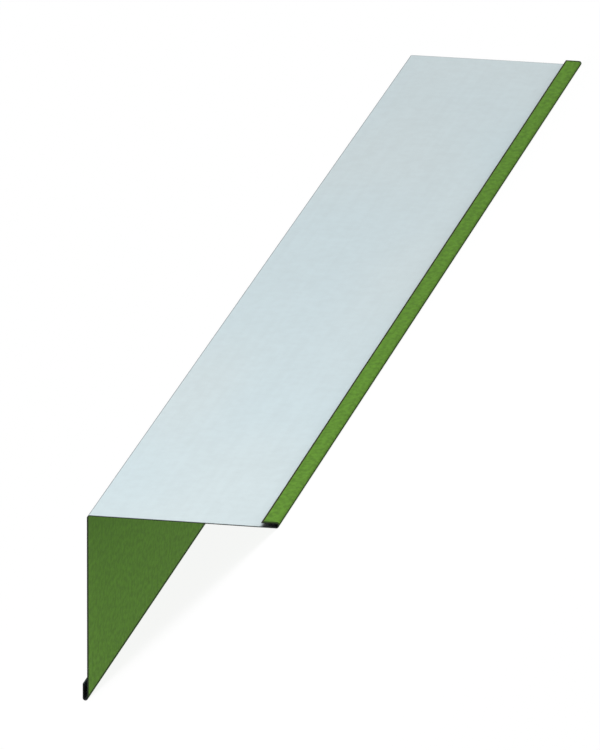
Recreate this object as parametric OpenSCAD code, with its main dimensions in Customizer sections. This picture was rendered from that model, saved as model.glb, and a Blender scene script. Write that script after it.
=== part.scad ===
// Inside corner trim for metal cladding: one strip of coated steel, folded on a brake.
// Two flanges meet at the corner bend, and each free edge is turned back over the outside
// of its flange as an open hem. The trim lies as it comes to rest: corner up, on its two hem folds.

/* [Trim] */
// Length of the trim
length = 1000; // [200:10:3000]
// Width of the right flange, from the outer corner to the end of its hem fold
flange_right = 115; // [40:1:300]
// Width of the left flange, from the outer corner to the end of its hem fold
flange_left = 115; // [40:1:300]
// Angle between the two flanges
corner_angle = 90; // [60:1:150]

/* [Sheet] */
// Thickness of the sheet with its coats
sheet_t = 0.5; // [0.4:0.05:1]
// Inner radius of the corner bend
corner_r = 1.2; // [0.4:0.1:5]

/* [Hems] */
// Width of each hem, from the end of its fold to its cut edge
hem_w = 10.5; // [6:0.5:25]
// Clear gap between a flange and the hem turned back over it
hem_gap = 2.2; // [0.4:0.1:5]

/* [Hidden] */

// Sides of a full circle, for every bend
$fn = 128;

// Turns of the sheet at the corner and at a hem fold, in degrees
corner_turn = 180 - corner_angle;
hem_turn = 180;

// Outer radius of the corner bend, and how far that bend reaches along each flange
corner_outer_r = corner_r + sheet_t;
corner_reach = corner_outer_r * tan(corner_turn / 2);

// Inner and outer radius of a hem fold
hem_r = hem_gap / 2;
hem_outer_r = hem_r + sheet_t;

// Flat runs of the strip: the hem's own, and those of the two flanges between their bends
hem_run = hem_w - hem_outer_r;
run_right = flange_right - corner_reach - hem_outer_r;
run_left = flange_left - corner_reach - hem_outer_r;

// The strip from the left cut edge to the right one. Each step is a flat run, the turn that
// ends it and that bend's inner radius. A turn above 0 closes the back of the sheet, and one
// below 0 closes its face.
steps = [
    [hem_run, hem_turn, hem_r],
    [run_left, -corner_turn, corner_r],
    [run_right, hem_turn, hem_r],
    [hem_run, 0, 0]
];

// How the trim rests: the centres of its hem folds are level, a fold's outer radius above the
// floor. The line from one centre to the other is worked out with both flanges sloping alike,
// and the lean then levels it when the flanges differ.
hem_rise = corner_outer_r + hem_r;
slope = corner_turn / 2;
fold_to_fold = [
    (run_left + run_right) * cos(slope) + 2 * hem_rise * sin(slope),
    (run_left - run_right) * sin(slope)
];
fold_span = norm(fold_to_fold);
lean = -atan2(fold_to_fold.y, fold_to_fold.x);

// Height of a bend's centre over the face of the sheet: beyond the back for a turn above 0,
// and below the face for a turn below 0
function centre_y(turn, inner_r) = turn > 0 ? sheet_t + inner_r : -inner_r;

// A flat of the sheet along +X, with its face at y = 0 and its back at y = sheet_t
module flat(run) {
    cube([run, sheet_t, length]);
}

// A bend that starts where a flat ends at x = 0
module bend(turn, inner_r) {
    translate([0, centre_y(turn, inner_r), 0])
        rotate(turn > 0 ? -90 : 90)
            rotate_extrude(angle = turn)
                translate([inner_r, 0])
                    square([sheet_t, length]);
}

// Moves what follows to the end of a bend and turns it to the new direction
module past_bend(turn, inner_r) {
    translate([0, centre_y(turn, inner_r), 0])
        rotate(turn)
            translate([0, -centre_y(turn, inner_r), 0])
                children();
}

// The folded strip from step i on
module strip(i = 0) {
    run = steps[i][0];
    turn = steps[i][1];
    inner_r = steps[i][2];
    flat(run);
    if (i < len(steps) - 1)
        translate([run, 0, 0]) {
            bend(turn, inner_r);
            past_bend(turn, inner_r) strip(i + 1);
        }
}

// The trim with its length along Y, standing on its hem folds at z = 0
module corner_trim() {
    color("#5b8438")
        rotate([90, 0, 0])
            translate([-fold_span / 2, hem_outer_r, -length / 2])
                rotate(180 + slope + lean)
                    translate([-hem_run, -hem_outer_r, 0])
                        strip();
}

corner_trim();
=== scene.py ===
"""Inside corner trim for metal cladding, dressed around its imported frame.

The trim is one strip of coated steel, folded on a brake. It lies corner up on its two hem
folds, with its length along Y. The strip is one closed surface: its section is carried along
the length, and wears the coat of its face, the coat of its back and its bare cut edges.
"""

import logging
from dataclasses import dataclass, fields, replace
from enum import Enum
from math import cos, pi, radians, sin

import bpy
import numpy as np
from mathutils import Matrix, Vector


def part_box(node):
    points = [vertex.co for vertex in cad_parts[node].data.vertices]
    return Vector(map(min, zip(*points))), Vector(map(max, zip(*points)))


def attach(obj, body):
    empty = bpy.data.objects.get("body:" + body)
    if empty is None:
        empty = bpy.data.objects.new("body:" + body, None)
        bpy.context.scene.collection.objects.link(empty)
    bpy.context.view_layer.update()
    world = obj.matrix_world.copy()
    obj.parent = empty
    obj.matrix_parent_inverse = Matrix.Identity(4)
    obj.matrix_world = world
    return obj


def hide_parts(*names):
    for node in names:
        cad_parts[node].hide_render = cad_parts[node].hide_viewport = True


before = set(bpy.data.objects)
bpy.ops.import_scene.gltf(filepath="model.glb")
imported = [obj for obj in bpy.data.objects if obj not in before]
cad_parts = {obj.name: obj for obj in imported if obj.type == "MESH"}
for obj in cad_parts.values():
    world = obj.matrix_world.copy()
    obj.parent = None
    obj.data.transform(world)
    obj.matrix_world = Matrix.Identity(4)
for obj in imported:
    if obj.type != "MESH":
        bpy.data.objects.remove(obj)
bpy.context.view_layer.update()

NODE = "corner_trim"
BODY = "root"
STRIP_MAP = "strip"
DEPTH = "depth"
MM = 0.001
WHITE = (1.0, 1.0, 1.0)
NOISE_MEAN = 0.5
LOG = logging.getLogger("corner_trim")

# The side that the photograph shows as up: square to the back of the right flange
PHOTO_UP = Vector((1.0, 0.0, 1.0)).normalized()

Triple = tuple[float, float, float]
Colour = Triple
Rgba = tuple[float, float, float, float]
Band = tuple[float, float]
Socket = bpy.types.NodeSocket


class Coat(Enum):
    """What a stretch of the strip's surface is; the value is its material slot on the mesh."""

    FACE = 0
    BACK = 1
    CUT = 2


class Stretch(Enum):
    """Which part of the strip a flat run is."""

    LEFT_HEM = "left hem"
    FLANGE = "flange"
    RIGHT_HEM = "right hem"


class Graph:
    """A short way to write a node tree."""

    # The colours of a Mix node share their names with its other sockets, so they go by number
    FIRST_COLOUR = 6
    SECOND_COLOUR = 7
    MIXED_COLOUR = 2

    def __init__(self, tree: bpy.types.NodeTree) -> None:
        """Empties the tree of a material or a world, to be filled."""
        self.tree = tree
        tree.nodes.clear()

    def add(self, kind: str, inputs: dict[str | int, object] | None = None,
            **settings: str) -> bpy.types.Node:
        """Adds a node.

        Args:
            kind: The node's Blender type.
            inputs: Socket names or numbers, each with a plain value or the socket to link.
            settings: The node's own settings.

        Returns:
            The new node.
        """
        node = self.tree.nodes.new(kind)
        for name, value in settings.items():
            setattr(node, name, value)
        for name, value in (inputs or {}).items():
            if isinstance(value, Socket):
                self.tree.links.new(value, node.inputs[name])
            else:
                node.inputs[name].default_value = value
        return node

    def math(self, operation: str, a: float | Socket, b: float | Socket = 0.0) -> Socket:
        """The result of an operation on one or two numbers or sockets."""
        return self.add("ShaderNodeMath", {0: a, 1: b}, operation=operation).outputs[0]

    def ramp(self, value: Socket, low: float, high: float, to_low: float = 0.0,
             to_high: float = 1.0) -> Socket:
        """A smooth step of a value from one level to another.

        Args:
            value: The socket that is read.
            low: Where the step begins.
            high: Where it ends.
            to_low: The result below the step.
            to_high: The result above it.

        Returns:
            The socket with the result.
        """
        inputs = {"Value": value, "From Min": low, "From Max": high,
                  "To Min": to_low, "To Max": to_high}
        node = self.add("ShaderNodeMapRange", inputs, interpolation_type="SMOOTHSTEP")
        return node.outputs["Result"]

    def noise(self, vector: Socket, waves: Triple, detail: float, rough: float) -> Socket:
        """Noise of a coordinate in metres.

        Args:
            vector: The coordinate's socket.
            waves: Waves a metre along each of its axes.
            detail: Octaves.
            rough: How strong each finer octave is.

        Returns:
            The socket with the noise, about NOISE_MEAN in the mean.
        """
        placed = self.add("ShaderNodeMapping", {"Vector": vector, "Scale": waves})
        inputs = {"Vector": placed.outputs["Vector"], "Scale": 1.0,
                  "Detail": detail, "Roughness": rough}
        return self.add("ShaderNodeTexNoise", inputs, noise_dimensions="3D").outputs["Fac"]

    def mix(self, share: Socket, first: Rgba | Socket, second: Rgba | Socket) -> Socket:
        """A mix of two colours.

        Args:
            share: 0 for the first colour, 1 for the second.
            first: The first colour, or its socket.
            second: The second colour, or its socket.

        Returns:
            The socket with the mixed colour.
        """
        inputs = {"Factor": share, self.FIRST_COLOUR: first, self.SECOND_COLOUR: second}
        return self.add("ShaderNodeMix", inputs, data_type="RGBA").outputs[self.MIXED_COLOUR]

    def bump(self, height: Socket, strength: float, distance: float) -> Socket:
        """The normal of a surface that a height from 0 to 1 lifts by up to a distance."""
        inputs = {"Height": height, "Strength": strength, "Distance": distance}
        return self.add("ShaderNodeBump", inputs).outputs["Normal"]

    def end_surface(self, inputs: dict[str, object]) -> None:
        """Ends a material with one Principled shader that has these inputs."""
        shader = self.add("ShaderNodeBsdfPrincipled", inputs)
        self.add("ShaderNodeOutputMaterial", {"Surface": shader.outputs["BSDF"]})

    def seen_directly(self) -> Socket:
        """Tells a ray that shows a thing from one that only carries its light.

        Returns:
            The socket with 1 for a ray from the camera, in a reflection or through glass, and
            0 for plain light.
        """
        path = self.add("ShaderNodeLightPath").outputs
        mirrored = self.math("MAXIMUM", path["Is Glossy Ray"], path["Is Transmission Ray"])
        return self.math("MAXIMUM", path["Is Camera Ray"], mirrored)


def rgba(colour: Colour, level: float = 1.0) -> Rgba:
    """A linear colour times a level, with full alpha."""
    return (*(channel * level for channel in colour), 1.0)


def headed(angle: float | np.ndarray) -> tuple[np.ndarray, np.ndarray]:
    """The direction at each angle, and the direction a quarter turn on from it."""
    ahead = np.stack([np.cos(angle), np.sin(angle)], axis=-1)
    return ahead, np.stack([-ahead[..., 1], ahead[..., 0]], axis=-1)


@dataclass(frozen=True)
class Fold:
    """A flat run of the strip and the bend that ends it.

    A turn above 0 closes the back of the sheet, and one below 0 closes its face.
    """

    stretch: Stretch
    run: float
    turn: float = 0.0
    inner_r: float = 0.0


@dataclass(frozen=True)
class TrimSizes:
    """The trim's sizes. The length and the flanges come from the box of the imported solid."""

    length: float
    half_width: float
    sheet_t: float = 0.5 * MM
    corner_r: float = 1.2 * MM
    hem_w: float = 10.5 * MM
    hem_gap: float = 2.2 * MM
    corner_turn: float = radians(90.0)
    hem_turn: float = radians(180.0)

    @property
    def hem_r(self) -> float:
        """Inner radius of a hem fold."""
        return self.hem_gap / 2

    @property
    def hem_outer_r(self) -> float:
        """Outer radius of a hem fold."""
        return self.hem_r + self.sheet_t

    @property
    def slope(self) -> float:
        """How steeply each flange falls from the corner, as an angle."""
        return self.corner_turn / 2

    @property
    def hem_run(self) -> float:
        """Flat part of a hem, from its fold to its cut edge."""
        return self.hem_w - self.hem_outer_r

    @property
    def flange_run(self) -> float:
        """Flat part of a flange, from the corner bend to its hem fold.

        The centre of the hem fold lies at the half width of the trim less the fold's outer
        radius. That is the run times the cosine of the slope, plus the rise times the sine.
        The rise is how far the fold's centre lies from that of the corner bend, square to
        the flange.

        Returns:
            The width of that flat part.
        """
        rise = self.corner_r + self.sheet_t + self.hem_r
        fold_x = self.half_width - self.hem_outer_r
        return (fold_x - rise * sin(self.slope)) / cos(self.slope)

    @property
    def folds(self) -> tuple[Fold, ...]:
        """Lists the strip's runs and bends.

        Returns:
            The folds, from the left cut edge to the right one.
        """
        return (Fold(Stretch.LEFT_HEM, self.hem_run, self.hem_turn, self.hem_r),
                Fold(Stretch.FLANGE, self.flange_run, -self.corner_turn, self.corner_r),
                Fold(Stretch.FLANGE, self.flange_run, self.hem_turn, self.hem_r),
                Fold(Stretch.RIGHT_HEM, self.hem_run))

    def arc(self, fold: Fold) -> float:
        """Length of a bend: its turn times the radius at the middle of the sheet."""
        return abs(fold.turn) * (fold.inner_r + self.sheet_t / 2)

    @property
    def blank_width(self) -> float:
        """Width of the strip before folding, along the middle of the sheet."""
        return sum(fold.run + self.arc(fold) for fold in self.folds)

    @property
    def hem_fold_at(self) -> float:
        """Distance across the blank from a cut edge to the middle of its hem fold."""
        return self.hem_run + self.arc(self.folds[0]) / 2


@dataclass(frozen=True)
class Trace:
    """Points along the face of the strip in its section, with one entry of each for a point.

    Attributes:
        point: Where it lies, as (x, z).
        back: The way that the back of the sheet faces there.
        ahead: The way that the strip runs on there, toward its right cut edge.
        along: How far it lies from the left cut edge, on the flat blank.
        flange: Its share of the flanges' ripple.
        hem: Its share of the hems' ripple.
    """

    point: np.ndarray
    back: np.ndarray
    ahead: np.ndarray
    along: np.ndarray
    flange: np.ndarray
    hem: np.ndarray

    @classmethod
    def joined(cls, pieces: list["Trace"]) -> "Trace":
        """Several traces end to end, as one."""
        return cls(*(np.concatenate([getattr(piece, part.name) for piece in pieces])
                     for part in fields(cls)))


@dataclass(frozen=True)
class Stand:
    """How far the tracing has come.

    Attributes:
        spot: The point on the face of the sheet.
        heading: The sheet's direction there, as an angle.
        along: How far that is from the left cut edge, on the flat blank.
    """

    spot: np.ndarray
    heading: float = 0.0
    along: float = 0.0


@dataclass(frozen=True)
class StripSection:
    """The folded section, traced from the left cut edge to the right one.

    A flat goes straight ahead. A bend goes round a centre that lies square to the sheet, at a
    reach that counts from the face toward the back. For a turn above 0 the reach is the inner
    radius plus the thickness. For a turn below 0 it is minus the inner radius. Each point is
    the centre less the reach times the direction of the back there, which turns evenly.
    """

    sizes: TrimSizes
    bevel: float = 0.05 * MM
    flange_steps: int = 30
    hem_steps: int = 5
    bend_steps: int = 20

    def trace(self) -> Trace:
        """Runs along the folds.

        Returns:
            The traced points, in the frame of the object.
        """
        stand = Stand(np.zeros(2))
        pieces: list[Trace] = []
        for fold in self.sizes.folds:
            flat, stand = self._flat(fold, stand)
            pieces.append(flat)
            if fold.turn:
                bend, stand = self._bend(fold, stand)
                pieces.append(bend)
        return self._laid(Trace.joined(pieces))

    def _steps(self, fold: Fold) -> tuple[np.ndarray, np.ndarray, np.ndarray]:
        """Spaces the points of a flat run.

        The ripple of a flange swells with the square of a sine, and is nothing at its bends.
        That of a hem grows evenly from its fold to its cut edge. A hem has one more point, a
        bevel off its cut edge.

        Args:
            fold: The run.

        Returns:
            How far along the run each point lies, from 0 to 1, and its shares of the flanges'
            and of the hems' ripple.
        """
        if fold.stretch is Stretch.FLANGE:
            share = np.linspace(0.0, 1.0, self.flange_steps + 1)
            return share, np.sin(pi * share) ** 2, np.zeros_like(share)
        share = np.linspace(0.0, 1.0, self.hem_steps + 1)
        nick = self.bevel / fold.run
        if fold.stretch is Stretch.LEFT_HEM:
            share = np.insert(share, 1, nick)
            return share, np.zeros_like(share), 1 - share
        share = np.insert(share, -1, 1 - nick)
        return share, np.zeros_like(share), share

    def _flat(self, fold: Fold, stand: Stand) -> tuple[Trace, Stand]:
        """Goes straight ahead along a flat run.

        Args:
            fold: The run.
            stand: Where it begins.

        Returns:
            Its trace, and where it ends.
        """
        share, flange, hem = self._steps(fold)
        ahead, back = headed(stand.heading)
        point = stand.spot + share[:, None] * fold.run * ahead
        trace = Trace(point, np.broadcast_to(back, point.shape),
                      np.broadcast_to(ahead, point.shape), stand.along + share * fold.run,
                      flange, hem)
        return trace, Stand(point[-1], stand.heading, stand.along + fold.run)

    def _bend(self, fold: Fold, stand: Stand) -> tuple[Trace, Stand]:
        """Goes round the bend that ends a run.

        Args:
            fold: The run and its bend.
            stand: Where the bend begins.

        Returns:
            The trace of the points between its two ends, and where it ends.
        """
        reach = fold.inner_r + self.sizes.sheet_t if fold.turn > 0 else -fold.inner_r
        _, first_back = headed(stand.heading)
        centre = stand.spot + reach * first_back
        share = np.linspace(0.0, 1.0, self.bend_steps + 1)[1:]
        ahead, back = headed(stand.heading + share * fold.turn)
        point = centre - reach * back
        along = stand.along + share * self.sizes.arc(fold)
        still = np.zeros(self.bend_steps - 1)
        trace = Trace(point[:-1], back[:-1], ahead[:-1], along[:-1], still, still)
        return trace, Stand(point[-1], stand.heading + fold.turn, along[-1])

    def _laid(self, traced: Trace) -> Trace:
        """Lays the section on its hem folds.

        It is turned by half a turn and the slope, because the tracing starts on a hem that
        lies upside down. Then it is moved until the centre of its first fold is the fold's
        outer radius above the floor, and the middle of the trim is at x = 0.

        Args:
            traced: The section as it was traced.

        Returns:
            The section in the frame of the object.
        """
        s = self.sizes
        angle = pi + s.slope
        turn = np.array([[cos(angle), -sin(angle)], [sin(angle), cos(angle)]])
        first_fold = np.array([s.hem_run, s.hem_outer_r])
        lies_at = np.array([s.hem_outer_r - s.half_width, s.hem_outer_r])
        return replace(traced, point=(traced.point - first_fold) @ turn.T + lies_at,
                       back=traced.back @ turn.T, ahead=traced.ahead @ turn.T)


@dataclass(frozen=True)
class Ripple:
    """How far a sheet is from flat, as a sum of cosines along the length.

    Each cosine has its own height, wavelength and start. The waves run askew: a place takes
    them as if it lay further along, by the drift times its distance across the strip.
    """

    heights: tuple[float, ...]
    waves: tuple[float, ...]
    starts: tuple[float, ...]
    drift: float = 0.0

    def at(self, along: np.ndarray, y: np.ndarray) -> np.ndarray:
        """The ripple at each place.

        Args:
            along: Distances across the strip.
            y: Distances along the length.

        Returns:
            Heights, one row for each y and one column for each distance across.
        """
        total = np.zeros((len(y), len(along)))
        for height, wave, start in zip(self.heights, self.waves, self.starts, strict=True):
            total += height * np.cos(2 * pi * (y[:, None] + self.drift * along) / wave + start)
        return total


class StripPlace:
    """Where a point lies on the flat blank, read in a material from the strip's own map."""

    def __init__(self, graph: Graph, sizes: TrimSizes) -> None:
        """Reads the map.

        Args:
            graph: The material's graph.
            sizes: The sizes of the trim.
        """
        self.graph = graph
        self.sizes = sizes
        self.uv = graph.add("ShaderNodeUVMap", uv_map=STRIP_MAP).outputs["UV"]
        axes = graph.add("ShaderNodeSeparateXYZ", {0: self.uv})
        self.across = axes.outputs["X"]
        self.along = axes.outputs["Y"]

    def _from_ends(self, place: Socket, whole: float) -> Socket:
        """The lesser of the ways to the two ends of a whole."""
        return self.graph.math("MINIMUM", place, self.graph.math("SUBTRACT", whole, place))

    def _from_line(self, place: Socket, line: float) -> Socket:
        """The way to a line, on either side of it."""
        return self.graph.math("ABSOLUTE", self.graph.math("SUBTRACT", place, line))

    def from_slit(self) -> Socket:
        """The way to the nearer slit edge, which is the free edge of a hem."""
        return self._from_ends(self.across, self.sizes.blank_width)

    def from_end(self) -> Socket:
        """The way to the nearer sheared end."""
        return self._from_ends(self.along, self.sizes.length)

    def from_hem_fold(self, shift: float = 0.0) -> Socket:
        """The way to a line that lies a shift from the middle of a hem fold, on the flange."""
        return self._from_line(self.from_slit(), self.sizes.hem_fold_at + shift)

    def from_corner(self) -> Socket:
        """The way to the middle line of the corner bend."""
        return self._from_line(self.across, self.sizes.blank_width / 2)


def strip_material(name: str, sizes: TrimSizes) -> tuple[bpy.types.Material, StripPlace]:
    """Begins a material of the strip.

    Args:
        name: Its name.
        sizes: The sizes of the trim.

    Returns:
        The material, and the place on the blank, which holds the material's graph.
    """
    made = bpy.data.materials.new(name)
    made.use_nodes = True
    return made, StripPlace(Graph(made.node_tree), sizes)


@dataclass(frozen=True)
class BlankNoise:
    """Noise that lies on the flat blank.

    Attributes:
        across: Its waves a metre across the strip.
        along: Its waves a metre along the strip.
        detail: Its octaves.
        rough: How strong each finer octave is.
        share: What it counts for in a tone.
    """

    across: float
    along: float
    detail: float = 2.0
    rough: float = 0.5
    share: float = 1.0

    def on(self, place: StripPlace) -> Socket:
        """The socket with the noise at a place."""
        waves = (self.across, self.along, 1.0)
        return place.graph.noise(place.uv, waves, self.detail, self.rough)


@dataclass(frozen=True)
class Rim:
    """A band of another colour beside a line: full up to one distance, and gone at another."""

    colour: Colour
    full_to: float
    gone_at: float

    def over(self, place: StripPlace, way: Socket, under: Socket) -> Socket:
        """Lays the band over a colour.

        Args:
            place: The place on the blank.
            way: The way from there to the line.
            under: The colour that it covers.

        Returns:
            The socket with the two colours as one.
        """
        share = place.graph.ramp(way, self.full_to, self.gone_at, 1.0, 0.0)
        return place.graph.mix(share, under, rgba(self.colour))


@dataclass(frozen=True)
class Paint:
    """How even a coat is and how it shines.

    Its tone is the sum of its noises, each times its share, and is about 0.5 in the mean. As
    the tone goes through its band, the colour goes from its darker level to its lighter one.
    As it goes through the gloss band, the roughness does the same. The peel is a fine noise
    in relief.
    """

    noises: tuple[BlankNoise, ...]
    tone_band: Band
    levels: Band
    gloss_band: Band
    roughness: Band
    specular: float
    peel: BlankNoise
    peel_strength: float
    peel_height: float = 0.2 * MM

    def tone(self, place: StripPlace) -> Socket:
        """Adds up the noises.

        Args:
            place: The place on the blank.

        Returns:
            The socket with the tone.
        """
        total: float | Socket = 0.0
        for noise in self.noises:
            inputs = {0: noise.on(place), 1: noise.share, 2: total}
            total = place.graph.add("ShaderNodeMath", inputs, operation="MULTIPLY_ADD").outputs[0]
        return total

    def inputs(self, place: StripPlace, tone: Socket, colour: Socket) -> dict[str, object]:
        """The inputs of the coat's shader.

        Args:
            place: The place on the blank.
            tone: The tone there.
            colour: The coat's finished colour there.

        Returns:
            The names of the inputs, each with its value or socket.
        """
        graph = place.graph
        normal = graph.bump(self.peel.on(place), self.peel_strength, self.peel_height)
        roughness = graph.ramp(tone, *self.gloss_band, *self.roughness)
        return {"Base Color": colour, "Roughness": roughness,
                "Specular IOR Level": self.specular, "Normal": normal}


@dataclass(frozen=True)
class FaceCoat:
    """Leaf green polyester: matt, with a fine grain and the faint lines of its roller.

    It is dark along its slit edges and its sheared ends. Painted shade darkens a line along each
    hem fold, which reaches a little way onto the flange.
    """

    colour: Colour = (0.113, 0.260, 0.028)
    paint: Paint = Paint(
        noises=(BlankNoise(9.0, 5.0, share=0.08), BlankNoise(300.0, 2.5, share=0.12),
                BlankNoise(330.0, 190.0, detail=3.0, rough=0.6, share=0.80)),
        tone_band=(0.35, 0.65), levels=(0.82, 1.18),
        gloss_band=(0.30, 0.70), roughness=(0.75, 0.81), specular=0.04,
        peel=BlankNoise(600.0, 600.0, detail=1.0), peel_strength=0.10)
    # Painted shade: a dark line along each hem fold, a little onto the flange, where the fold
    # turns from the light
    fold_shade: Rim = Rim((0.02599, 0.05980, 0.00644), full_to=1.786 * MM, gone_at=2.35 * MM)
    fold_shade_shift: float = 1.40 * MM
    end_rim: Rim = Rim((0.026, 0.055, 0.008), full_to=2.10 * MM, gone_at=3.00 * MM)
    slit_rim: Rim = Rim((0.028, 0.024, 0.009), full_to=0.805 * MM, gone_at=1.15 * MM)

    def material(self, sizes: TrimSizes) -> bpy.types.Material:
        """Makes the material.

        Args:
            sizes: The sizes of the trim, for the ways to its edges and folds.

        Returns:
            The material.
        """
        made, place = strip_material("face_coat", sizes)
        graph = place.graph
        tone = self.paint.tone(place)
        dark, light = (rgba(self.colour, level) for level in self.paint.levels)
        body = graph.mix(graph.ramp(tone, *self.paint.tone_band), dark, light)
        # Painted shade along each hem fold
        folded = self.fold_shade.over(place, place.from_hem_fold(self.fold_shade_shift), body)
        ended = self.end_rim.over(place, place.from_end(), folded)
        colour = self.slit_rim.over(place, place.from_slit(), ended)
        graph.end_surface(self.paint.inputs(place, tone, colour))
        return made


@dataclass(frozen=True)
class BackCoat:
    """Pale blue-grey backing coat with soft clouds and roller lines.

    Its tint drifts from a cooler to a warmer one. It is greyer in a thin line along its sheared
    ends. Painted shade darkens another thin line along the corner bend, and painted deep shade
    lies inside the hems and just past their slit edges.
    """

    cool: Colour = (0.602, 0.719, 0.757)
    warm: Colour = (0.618, 0.717, 0.743)
    tint: BlankNoise = BlankNoise(8.0, 3.0, detail=1.0)
    tint_band: Band = (0.35, 0.65)
    paint: Paint = Paint(
        noises=(BlankNoise(45.0, 22.0, share=0.25), BlankNoise(300.0, 2.0, share=0.25),
                BlankNoise(150.0, 110.0, detail=3.0, share=0.50)),
        tone_band=(0.30, 0.70), levels=(0.965, 1.035),
        gloss_band=(0.30, 0.70), roughness=(0.51, 0.59), specular=0.3,
        peel=BlankNoise(900.0, 900.0), peel_strength=0.06)
    # Painted shade: a grey line along the outside of the corner bend, where it turns from the
    # light
    bend_shade: Rim = Rim((0.2440, 0.2872, 0.3000), full_to=0.50 * MM, gone_at=1.00 * MM)
    end_rim: Rim = Rim((0.305, 0.359, 0.375), full_to=0.54 * MM, gone_at=0.90 * MM)
    # Painted deep shade inside the hems and just past their slit edges
    hem_shade: Rim = Rim((0.0305, 0.0359, 0.0375), full_to=9.7 * MM, gone_at=12.7 * MM)

    def material(self, sizes: TrimSizes) -> bpy.types.Material:
        """Makes the material.

        Args:
            sizes: The sizes of the trim, for the ways to its edges and folds.

        Returns:
            The material.
        """
        made, place = strip_material("back_coat", sizes)
        graph = place.graph
        tone = self.paint.tone(place)
        drift = graph.ramp(self.tint.on(place), *self.tint_band)
        dark, light = (graph.mix(drift, rgba(self.cool, level), rgba(self.warm, level))
                       for level in self.paint.levels)
        body = graph.mix(graph.ramp(tone, *self.paint.tone_band), dark, light)
        # Painted shade along the corner bend, then painted deep shade in the hems
        bend_shaded = self.bend_shade.over(place, place.from_corner(), body)
        ended = self.end_rim.over(place, place.from_end(), bend_shaded)
        colour = self.hem_shade.over(place, place.from_hem_fold(), ended)
        graph.end_surface(self.paint.inputs(place, tone, colour))
        return made


@dataclass(frozen=True)
class CutEdge:
    """The slit and sheared edge: dull steel between the lines of its two coats.

    The steel is lighter where the blade cut and darker where the sheet broke. The bands are
    depths below the face, as shares of the thickness. The line between the cut and the break
    wanders with the marks of the blade.
    """

    steel: Colour = (0.034, 0.036, 0.032)
    torn: Colour = (0.018, 0.020, 0.016)
    face_line: Colour = (0.016, 0.030, 0.008)
    back_line: Colour = (0.070, 0.080, 0.080)
    face_line_band: Band = (0.06, 0.12)
    torn_band: Band = (0.35, 0.50)
    back_line_band: Band = (0.90, 0.95)
    marks: BlankNoise = BlankNoise(2500.0, 2500.0)
    marks_wander: float = 0.3
    marks_strength: float = 0.3
    marks_height: float = 0.1 * MM
    roughness: float = 0.6
    specular: float = 0.08

    def material(self, sizes: TrimSizes) -> bpy.types.Material:
        """Makes the material, from the depth below the face that each vertex holds.

        Args:
            sizes: The sizes of the trim.

        Returns:
            The material.
        """
        made, place = strip_material("cut_edge", sizes)
        graph = place.graph
        depth = graph.add("ShaderNodeAttribute", attribute_name=DEPTH).outputs["Fac"]
        marks = self.marks.on(place)
        wander = graph.math("MULTIPLY", graph.math("SUBTRACT", marks, NOISE_MEAN),
                            self.marks_wander)
        broken = graph.ramp(graph.math("ADD", depth, wander), *self.torn_band)
        core = graph.mix(broken, rgba(self.steel), rgba(self.torn))
        faced = graph.mix(graph.ramp(depth, *self.face_line_band, 1.0, 0.0), core,
                          rgba(self.face_line))
        colour = graph.mix(graph.ramp(depth, *self.back_line_band), faced, rgba(self.back_line))
        graph.end_surface({"Base Color": colour, "Roughness": self.roughness,
                           "Specular IOR Level": self.specular,
                           "Normal": graph.bump(marks, self.marks_strength, self.marks_height)})
        return made


@dataclass(frozen=True)
class Loop:
    """The vertices round the section, with one entry of each for a vertex.

    Attributes:
        source: The number of its traced point.
        depth: How far below the face it lies.
        in_depth: How much deeper it lies in an end row, in bevels.
        in_ahead: How much further ahead it lies in an end row, in bevels.
    """

    source: np.ndarray
    depth: np.ndarray
    in_depth: np.ndarray
    in_ahead: np.ndarray


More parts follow.
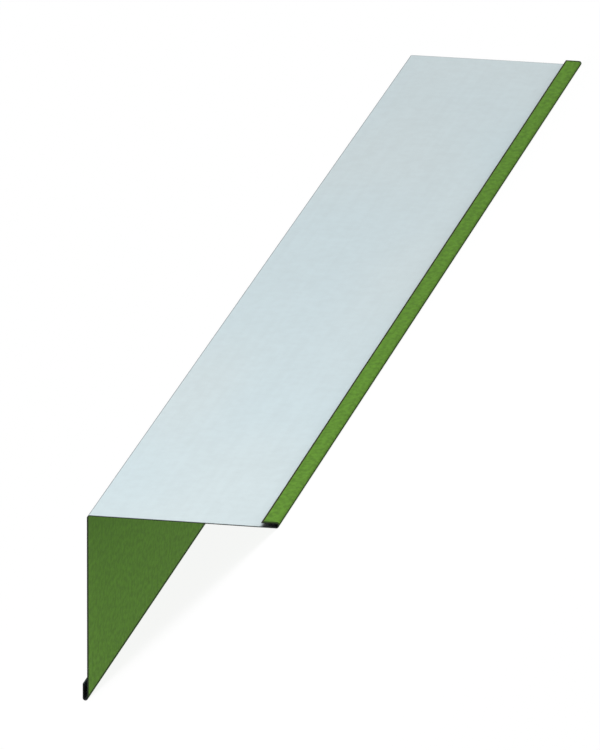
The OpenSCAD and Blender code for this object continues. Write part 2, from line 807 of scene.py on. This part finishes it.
@dataclass(frozen=True)
class CornerTrim:
    """The folded strip: one closed surface, carried along the length from its section."""

    sizes: TrimSizes
    length_steps: int = 160
    corner_draw: float = 0.4
    smooth_below: float = radians(30.0)
    flange_ripple: Ripple = Ripple(heights=(0.10 * MM, 0.05 * MM, 0.03 * MM),
                                   waves=(0.83, 0.41, 0.19), starts=(1.5, 0.9, 0.5), drift=0.6)
    hem_ripple: Ripple = Ripple(heights=(0.05 * MM, 0.03 * MM), waves=(0.37, 0.16),
                                starts=(1.3, 5.0))
    face_coat: FaceCoat = FaceCoat()
    back_coat: BackCoat = BackCoat()
    cut_edge: CutEdge = CutEdge()

    def build(self) -> bpy.types.Object:
        """Builds the mesh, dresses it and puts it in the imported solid's place.

        Returns:
            The piece.
        """
        piece = bpy.data.objects.new("trim_strip", self._mesh())
        bpy.context.scene.collection.objects.link(piece)
        # In the order of the values of Coat
        for finish in (self.face_coat, self.back_coat, self.cut_edge):
            piece.data.materials.append(finish.material(self.sizes))
        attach(piece, BODY)
        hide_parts(NODE)
        return piece

    def _loop(self, traced: int, bevel: float) -> Loop:
        """Goes once round the section, which has its four corners cut off by the bevel.

        The loop goes across the left cut edge, along the face, across the right cut edge and
        home along the back. An end row draws it in all round, by one bevel from the face, from
        the back and from the cut edges. A vertex beside a corner is also drawn in the other of
        these directions, by the share of a bevel that corner_draw gives.

        Args:
            traced: Number of traced points.
            bevel: Size of the bevel.

        Returns:
            The loop.
        """
        t = self.sizes.sheet_t
        draw = self.corner_draw
        last = traced - 1
        inner = np.arange(1, last)
        one = np.ones(last - 1)
        none = np.zeros(last - 1)
        source = np.concatenate([[0, 0], inner, [last, last], inner[::-1]])
        depth = np.concatenate([[t - bevel, bevel], none, [bevel, t - bevel], t * one])
        in_depth = np.concatenate([[-draw, draw], one, [draw, -draw], -one])
        in_ahead = np.concatenate([[1.0, 1.0], none, [-1.0, -1.0], none])
        in_ahead[[2, -1]] = draw
        in_ahead[[last, traced + 2]] = -draw
        return Loop(source, depth, in_depth, in_ahead)

    def _surface(self) -> tuple[np.ndarray, np.ndarray, np.ndarray]:
        """Carries the loop along the length, in rows.

        Each vertex lies at its traced point, moved by its depth and the ripple toward the
        back. The two sides of the sheet take the same ripple, so it keeps its thickness. There
        is one more row a bevel off each end, and the rows at the ends are drawn in.

        Returns:
            For each row and each vertex of the loop: its place, its place on the flat blank,
            and its depth as a share of the thickness.
        """
        section = StripSection(self.sizes)
        bevel = section.bevel
        trace = section.trace()
        loop = self._loop(len(trace.along), bevel)

        half = self.sizes.length / 2
        y = np.linspace(-half, half, self.length_steps + 1)
        y = np.insert(np.insert(y, -1, half - bevel), 1, bevel - half)
        drawn = np.zeros((len(y), 1))
        drawn[[0, -1]] = bevel

        lift = (self.flange_ripple.at(trace.along, y) * trace.flange
                + self.hem_ripple.at(trace.along, y) * trace.hem)
        out = loop.depth + lift[:, loop.source] + drawn * loop.in_depth
        ahead = drawn * loop.in_ahead
        flat = (trace.point[loop.source] + out[..., None] * trace.back[loop.source]
                + ahead[..., None] * trace.ahead[loop.source])
        row_y = np.broadcast_to(y[:, None], out.shape)
        points = np.stack([flat[..., 0], row_y, flat[..., 1]], axis=-1)
        across = np.broadcast_to(trace.along[loop.source], out.shape)
        places = np.stack([across, row_y + half], axis=-1)
        depths = (loop.depth + drawn * loop.in_depth) / self.sizes.sheet_t
        return points, places, np.clip(depths, 0.0, 1.0)

    def _mesh(self) -> bpy.types.Mesh:
        """Makes the closed surface.

        Returns:
            The mesh, with its material slots, its depths and its map.
        """
        points, places, depths = self._surface()
        faces, slots = self._faces(*depths.shape)
        mesh = bpy.data.meshes.new("trim_strip")
        mesh.from_pydata(points.reshape(-1, 3), [], faces)
        mesh.polygons.foreach_set("material_index", slots)
        mesh.polygons.foreach_set("use_smooth", np.ones(len(faces), dtype=bool))
        mesh.set_sharp_from_angle(angle=self.smooth_below)
        held = mesh.attributes.new(DEPTH, "FLOAT", "POINT")
        held.data.foreach_set("value", depths.astype(np.float32).ravel())
        self._map(mesh, places.reshape(-1, 2))
        mesh.update()
        return mesh

    @staticmethod
    def _faces(rows: int, around: int) -> tuple[np.ndarray, np.ndarray]:
        """The faces round the loop from row to row, and across the two ends.

        Round the loop, a face joins two neighbours in one row to the same two in the next.
        Across an end, one joins each stretch of the face to the same stretch of the back.

        Args:
            rows: Number of rows along the length.
            around: Number of vertices in the loop, twice the number of traced points.

        Returns:
            The corners of each face, in the order that turns it outwards, and its material
            slot.
        """
        traced = around // 2
        here = np.arange(around)
        ahead = (here + 1) % around
        row = np.arange(rows - 1)[:, None] * around
        following = row + around
        walls = np.stack([row + here, following + here, following + ahead, row + ahead],
                         axis=-1).reshape(-1, 4)
        worn = np.full(around, Coat.CUT.value)
        worn[2:traced - 1] = Coat.FACE.value
        worn[traced + 2:around - 1] = Coat.BACK.value
        wall_slots = np.tile(worn, (rows - 1, 1))
        wall_slots[[0, -1]] = Coat.CUT.value

        near = np.arange(1, traced)
        front = np.stack([near, near + 1, -near % around, (1 - near) % around], axis=-1)
        far = (front + (rows - 1) * around)[:, ::-1]
        caps = np.concatenate([front, far])
        faces = np.concatenate([walls, caps])
        slots = np.concatenate([wall_slots.ravel(), np.full(len(caps), Coat.CUT.value)])
        return faces, slots.astype(np.int32)

    @staticmethod
    def _map(mesh: bpy.types.Mesh, places: np.ndarray) -> None:
        """Writes the strip's own map.

        Args:
            mesh: The mesh.
            places: Each vertex's place on the flat blank, in metres.
        """
        layer = mesh.uv_layers.new(name=STRIP_MAP)
        corners = np.empty(len(mesh.loops), dtype=np.int32)
        mesh.loops.foreach_get("vertex_index", corners)
        layer.data.foreach_set("uv", places[corners].astype(np.float32).ravel())


@dataclass(frozen=True)
class PhotoCamera:
    """The photograph's camera, which stands in front of the trim and to its right.

    It is rolled, because the photograph shows the right flange level and this trim lies with
    both flanges sloping. PHOTO_UP gives nearly all of that roll, and the roll here the rest.
    """

    eye: Triple = (2.74370, -7.51944, 0.65382)
    aim: Triple = (-0.02384, -0.00949, 0.01619)
    focal_px: float = 12877.0
    frame_px: tuple[int, int] = (600, 750)
    sensor_mm: float = 36.0
    roll: float = 0.00335
    nearest: float = 0.1
    farthest: float = 100.0

    def build(self) -> bpy.types.Object:
        """Makes the camera and gives it to the scene.

        Its back points from the aim to the eye. Its right is square to that and to the
        photograph's up, its up is square to both, and the roll then turns it about its back.

        Returns:
            The camera object.
        """
        data = bpy.data.cameras.new("photo_camera")
        data.sensor_width = self.sensor_mm
        data.lens = self.focal_px * self.sensor_mm / max(self.frame_px)
        data.clip_start = self.nearest
        data.clip_end = self.farthest
        camera = bpy.data.objects.new("photo_camera", data)
        bpy.context.scene.collection.objects.link(camera)
        back = (Vector(self.eye) - Vector(self.aim)).normalized()
        right = PHOTO_UP.cross(back).normalized()
        up = back.cross(right)
        turn = Matrix((right, up, back)).transposed() @ Matrix.Rotation(self.roll, 3, "Z")
        camera.matrix_world = Matrix.Translation(self.eye) @ turn.to_4x4()
        bpy.context.scene.camera = camera
        return camera


@dataclass(frozen=True)
class SoftLamp:
    """A square soft lamp, which the camera doesn't see.

    Attributes:
        name: Its name.
        power: Its power, in watts.
        size: Length of its sides.
        place: Its middle.
        aim: The point that it shines at.
    """

    name: str
    power: float
    size: float
    place: Vector
    aim: Vector

    def build(self) -> bpy.types.Object:
        """Makes the lamp.

        Returns:
            The lamp.
        """
        data = bpy.data.lights.new(self.name, "AREA")
        data.shape = "SQUARE"
        data.size = self.size
        data.energy = self.power
        lamp = bpy.data.objects.new(self.name, data)
        bpy.context.scene.collection.objects.link(lamp)
        lamp.rotation_mode = "QUATERNION"
        lamp.rotation_quaternion = (self.aim - self.place).to_track_quat("-Z", "Y")
        lamp.location = self.place
        lamp.visible_camera = False
        return lamp


@dataclass(frozen=True)
class Studio:
    """A pale floor and soft light: a sky all round, a large lamp above and a small one below.

    The light of the sky is its level plus the direction times its lean, and never below 0. It
    and that of the small lamp come through the floor, as on a light table, because the face of
    the left flange looks down.
    """

    floor_size: float = 40.0
    floor_colour: Colour = (0.9, 0.9, 0.9)
    floor_glow: float = 0.905
    floor_shade: float = 0.11
    sky_level: float = 0.81
    sky_lean: Triple = (-0.21, 0.55, 0.23)
    key_power: float = 2.0
    key_size: float = 0.7
    key_height: float = 0.85
    key_aim: Triple = (0.0, -0.7, 0.0)
    fill_power: float = 0.105
    fill_size: float = 0.15
    fill_place: Triple = (0.149, -0.520, -0.195)
    fill_aim: Triple = (-0.064, -0.480, 0.017)

    def build(self) -> list[bpy.types.Object]:
        """Makes the floor, the sky and the lamps.

        Returns:
            The floor and the lamps.
        """
        self._sky()
        return [self._floor(), self._key().build(), self._fill().build()]

    def _floor(self) -> bpy.types.Object:
        """Makes the floor, which takes the shade of the trim.

        It stops no light, gives the trim none, and isn't mirrored in it.

        Returns:
            The floor.
        """
        reach = self.floor_size / 2
        corners = [(-reach, -reach, 0.0), (reach, -reach, 0.0),
                   (reach, reach, 0.0), (-reach, reach, 0.0)]
        mesh = bpy.data.meshes.new("floor")
        mesh.from_pydata(corners, [], [(0, 1, 2, 3)])
        mesh.materials.append(self._floor_card())
        floor = bpy.data.objects.new("floor", mesh)
        bpy.context.scene.collection.objects.link(floor)
        floor.visible_diffuse = False
        floor.visible_glossy = False
        floor.visible_shadow = False
        return floor

    def _floor_card(self) -> bpy.types.Material:
        """Makes the floor's material: a glow where it is seen, and a dim coat that takes light.

        The two add up to white, less the soft shade of the trim.

        Returns:
            The material.
        """
        made = bpy.data.materials.new("floor_card")
        made.use_nodes = True
        graph = Graph(made.node_tree)
        shade = graph.add("ShaderNodeBsdfDiffuse",
                          {"Color": rgba(self.floor_colour, self.floor_shade)})
        strength = graph.math("MULTIPLY", graph.seen_directly(), self.floor_glow)
        glow = graph.add("ShaderNodeEmission", {"Color": rgba(WHITE), "Strength": strength})
        both = graph.add("ShaderNodeAddShader", {0: shade.outputs[0], 1: glow.outputs[0]})
        graph.add("ShaderNodeOutputMaterial", {"Surface": both.outputs[0]})
        return made

    def _sky(self) -> None:
        """Lights the trim from all sides, and gives what is seen a white background."""
        world = bpy.data.worlds.new("studio")
        bpy.context.scene.world = world
        world.use_nodes = True
        graph = Graph(world.node_tree)
        way = graph.add("ShaderNodeTexCoord").outputs["Generated"]
        lean = graph.add("ShaderNodeVectorMath", {0: way, 1: self.sky_lean},
                         operation="DOT_PRODUCT").outputs["Value"]
        level = graph.math("MAXIMUM", 0.0, graph.math("ADD", lean, self.sky_level))
        light = graph.add("ShaderNodeBackground", {"Color": rgba(WHITE), "Strength": level})
        seen = graph.add("ShaderNodeBackground", {"Color": rgba(WHITE), "Strength": 1.0})
        both = graph.add("ShaderNodeMixShader", {0: graph.seen_directly(), 1: light.outputs[0],
                                                 2: seen.outputs[0]})
        graph.add("ShaderNodeOutputWorld", {"Surface": both.outputs[0]})

    def _key(self) -> SoftLamp:
        """The large lamp, square over the back of the right flange."""
        aim = Vector(self.key_aim)
        return SoftLamp("key_lamp", self.key_power, self.key_size,
                        aim + PHOTO_UP * self.key_height, aim)

    def _fill(self) -> SoftLamp:
        """The small lamp below the floor, for the front of the left flange's face."""
        return SoftLamp("fill_lamp", self.fill_power, self.fill_size, Vector(self.fill_place),
                        Vector(self.fill_aim))


def main() -> None:
    """Builds the camera, the trim and the studio, and reports each piece."""
    logging.basicConfig(level=logging.INFO, format="%(name)s: %(message)s")
    bpy.context.scene.view_settings.view_transform = "Standard"
    camera = PhotoCamera().build()
    LOG.info("camera %s with a %.0f mm lens", camera.name, camera.data.lens)

    low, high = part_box(NODE)
    sizes = TrimSizes(length=high.y - low.y, half_width=(high.x - low.x) / 2)
    LOG.info("strip %.2f mm wide before folding, flats %.2f mm", sizes.blank_width / MM,
             sizes.flange_run / MM)
    piece = CornerTrim(sizes).build()
    LOG.info("%s: %d faces", piece.name, len(piece.data.polygons))
    for item in Studio().build():
        LOG.info("studio: %s", item.name)


if __name__ == "__main__":
    main()
